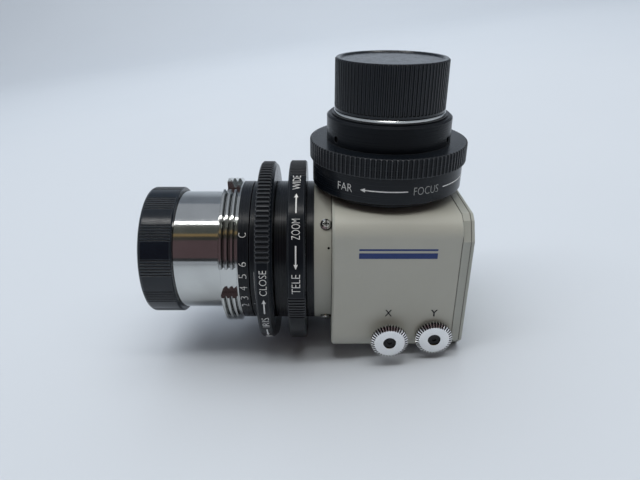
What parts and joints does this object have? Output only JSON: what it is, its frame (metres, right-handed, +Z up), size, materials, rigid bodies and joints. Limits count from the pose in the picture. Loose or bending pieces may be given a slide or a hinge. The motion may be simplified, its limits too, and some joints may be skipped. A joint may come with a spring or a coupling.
{
  "type": "right-angle microscope video adapter",
  "caption": "Right-angle video adapter: interrupted-thread coupling, iris and zoom rings, fold-mirror box with centring knobs, focus ring and capped camera port.",
  "frame": {"origin": "on the barrel axis, at the shoulder where the plain chrome spigot meets the thread ring", "axes": "+X along the barrel towards the mirror box, +Z up along the camera port, -Y towards the face with the two knobs"},
  "size_m": [0.0909, 0.0548, 0.0832],
  "materials": {
    "black_anodised": "matte black anodised",
    "black_plastic": "semi-matte black",
    "chrome": "bright polished plate",
    "paint": "fine-textured warm light grey enamel",
    "plate_paint": "fine-textured warm light grey enamel",
    "glass": "coated optical glass",
    "inner_black": "blackened",
    "steel": "bright steel",
    "black_steel": "blackened steel",
    "aluminium": "bright machined",
    "brass": "turned",
    "mirror_glass": "front-silvered"
  },
  "bodies": {
    "housing": {"coupling_tube": "chrome", "thread_ring": "chrome", "front_lens": "glass", "front_lens_retainer": "inner_black", "number_ring": "black_anodised", "front_barrel": "black_anodised", "iris_base_plate": "inner_black", "mid_barrel": "black_anodised", "guide_tube": "inner_black", "rear_barrel": "black_anodised", "collar": "paint", "collar_screws": "steel", "housing": "paint", "mid_plate": "plate_paint", "outer_plate": "plate_paint", "cover_screws": "steel", "gimbal_bearings": "brass", "x_bush": "brass", "y_bush": "brass", "port_base": "black_anodised"},
    "front_cap": {"front_dust_cap": "black_plastic"},
    "iris_ring": {"iris_ring": "black_anodised", "index_ring": "black_anodised", "iris_drive_pins": "steel", "iris_drive_plate": "inner_black"},
    "zoom_ring": {"zoom_ring": "black_anodised", "zoom_drive_pins": "steel", "cam_sleeve": "inner_black"},
    "variator": {"variator_cell": "inner_black", "variator_lens": "glass"},
    "compensator": {"compensator_cell": "inner_black", "compensator_lens": "glass"},
    "gimbal": {"gimbal_frame": "inner_black", "gimbal_pins": "steel"},
    "mirror": {"mirror": "mirror_glass", "mirror_cell": "inner_black"},
    "x_carriage": {"x_thrust_pad": "steel"},
    "x_knob": {"x_knob": "aluminium", "x_stem": "steel", "x_knob_screw": "black_steel"},
    "y_carriage": {"y_thrust_cone": "steel"},
    "y_knob": {"y_knob": "aluminium", "y_stem": "steel", "y_knob_screw": "black_steel"},
    "focus_ring": {"focus_ring": "black_anodised"},
    "camera_barrel": {"camera_barrel": "black_anodised", "barrel_set_screws": "black_steel", "barrel_key_pin": "steel", "c_mount_ring": "chrome", "rear_lens": "glass"},
    "port_cap": {"c_mount_cap": "black_plastic"},
    "blade_0": {"iris_blade_0": "inner_black"},
    "blade_1": {"iris_blade_1": "inner_black"},
    "blade_2": {"iris_blade_2": "inner_black"},
    "blade_3": {"iris_blade_3": "inner_black"},
    "blade_4": {"iris_blade_4": "inner_black"},
    "blade_5": {"iris_blade_5": "inner_black"},
    "blade_6": {"iris_blade_6": "inner_black"},
    "blade_7": {"iris_blade_7": "inner_black"}
  },
  "joints": [
    {"name": "front_cap_pull", "type": "slide", "parent": "housing", "child": "front_cap", "axis": [-1, 0, 0], "range_m": [0, 0.03]},
    {"name": "iris_turn", "type": "hinge", "parent": "housing", "child": "iris_ring", "pos_m": [0, 0, 0], "axis": [-1, 0, 0], "range_deg": [-10, 59]},
    {"name": "blade_0_swing", "type": "hinge", "parent": "housing", "child": "blade_0", "pos_m": [0.0067, 0.0156, 0], "axis": [1, 0, 0], "range_deg": [-5, 29.2]},
    {"name": "blade_1_swing", "type": "hinge", "parent": "housing", "child": "blade_1", "pos_m": [0.00695, 0.01103, 0.01103], "axis": [1, 0, 0], "range_deg": [-5, 29.2]},
    {"name": "blade_2_swing", "type": "hinge", "parent": "housing", "child": "blade_2", "pos_m": [0.0072, 0, 0.0156], "axis": [1, 0, 0], "range_deg": [-5, 29.2]},
    {"name": "blade_3_swing", "type": "hinge", "parent": "housing", "child": "blade_3", "pos_m": [0.00745, -0.01103, 0.01103], "axis": [1, 0, 0], "range_deg": [-5, 29.2]},
    {"name": "blade_4_swing", "type": "hinge", "parent": "housing", "child": "blade_4", "pos_m": [0.0077, -0.0156, 0], "axis": [1, 0, 0], "range_deg": [-5, 29.2]},
    {"name": "blade_5_swing", "type": "hinge", "parent": "housing", "child": "blade_5", "pos_m": [0.00795, -0.01103, -0.01103], "axis": [1, 0, 0], "range_deg": [-5, 29.2]},
    {"name": "blade_6_swing", "type": "hinge", "parent": "housing", "child": "blade_6", "pos_m": [0.0082, 0, -0.0156], "axis": [1, 0, 0], "range_deg": [-5, 29.2]},
    {"name": "blade_7_swing", "type": "hinge", "parent": "housing", "child": "blade_7", "pos_m": [0.00845, 0.01103, -0.01103], "axis": [1, 0, 0], "range_deg": [-5, 29.2]},
    {"name": "zoom_turn", "type": "hinge", "parent": "housing", "child": "zoom_ring", "pos_m": [0, 0, 0], "axis": [-1, 0, 0], "range_deg": [-45, 45]},
    {"name": "variator_travel", "type": "slide", "parent": "housing", "child": "variator", "axis": [1, 0, 0], "range_m": [-0.0034, 0.0034]},
    {"name": "compensator_travel", "type": "slide", "parent": "housing", "child": "compensator", "axis": [1, 0, 0], "range_m": [-0.002, 0.002]},
    {"name": "x_screw_travel", "type": "slide", "parent": "housing", "child": "x_carriage", "axis": [0, 1, 0], "range_m": [-0.0005, 0.0005]},
    {"name": "x_knob_turn", "type": "hinge", "parent": "x_carriage", "child": "x_knob", "pos_m": [0.0467, 0, -0.015], "axis": [0, 1, 0], "range_deg": [-361, 361]},
    {"name": "y_screw_travel", "type": "slide", "parent": "housing", "child": "y_carriage", "axis": [0, 1, 0], "range_m": [-0.00075, 0.0001]},
    {"name": "y_knob_turn", "type": "hinge", "parent": "y_carriage", "child": "y_knob", "pos_m": [0.05915, 0, -0.015], "axis": [0, 1, 0], "range_deg": [-541, 73]},
    {"name": "gimbal_tilt", "type": "hinge", "parent": "housing", "child": "gimbal", "pos_m": [0.04961, 0, -0.003], "axis": [0, -1, 0], "range_deg": [-2.95, 0.46]},
    {"name": "mirror_tilt", "type": "hinge", "parent": "gimbal", "child": "mirror", "pos_m": [0.04961, 0, -0.003], "axis": [0.7071, 0, 0.7071], "range_deg": [-4.6, 4.6]},
    {"name": "focus_turn", "type": "hinge", "parent": "housing", "child": "focus_ring", "pos_m": [0.0466, 0, 0], "axis": [0, 0, 1], "range_deg": [-60, 60]},
    {"name": "focus_travel", "type": "slide", "parent": "housing", "child": "camera_barrel", "axis": [0, 0, 1], "range_m": [-0.0013, 0.0013]},
    {"name": "port_cap_lift", "type": "slide", "parent": "camera_barrel", "child": "port_cap", "axis": [0, 0, 1], "range_m": [0, 0.02]}
  ],
  "couplings": [
    {"joint": "blade_0_swing", "follows": "iris_turn", "ratio": 0.4928},
    {"joint": "blade_1_swing", "follows": "iris_turn", "ratio": 0.4928},
    {"joint": "blade_2_swing", "follows": "iris_turn", "ratio": 0.4928},
    {"joint": "blade_3_swing", "follows": "iris_turn", "ratio": 0.4928},
    {"joint": "blade_4_swing", "follows": "iris_turn", "ratio": 0.4928},
    {"joint": "blade_5_swing", "follows": "iris_turn", "ratio": 0.4928},
    {"joint": "blade_6_swing", "follows": "iris_turn", "ratio": 0.4928},
    {"joint": "blade_7_swing", "follows": "iris_turn", "ratio": 0.4928},
    {"joint": "variator_travel", "follows": "zoom_turn", "m_per_rad": 0.0042667},
    {"joint": "compensator_travel", "follows": "zoom_turn", "m_per_rad": -0.0024381},
    {"joint": "x_knob_turn", "follows": "x_screw_travel", "rad_per_m": 12566},
    {"joint": "y_knob_turn", "follows": "y_screw_travel", "rad_per_m": 12566},
    {"joint": "gimbal_tilt", "follows": "y_screw_travel", "rad_per_m": 65.656},
    {"joint": "mirror_tilt", "follows": "x_screw_travel", "rad_per_m": 155.59},
    {"joint": "focus_travel", "follows": "focus_turn", "m_per_rad": 0.0011937}
  ]
}
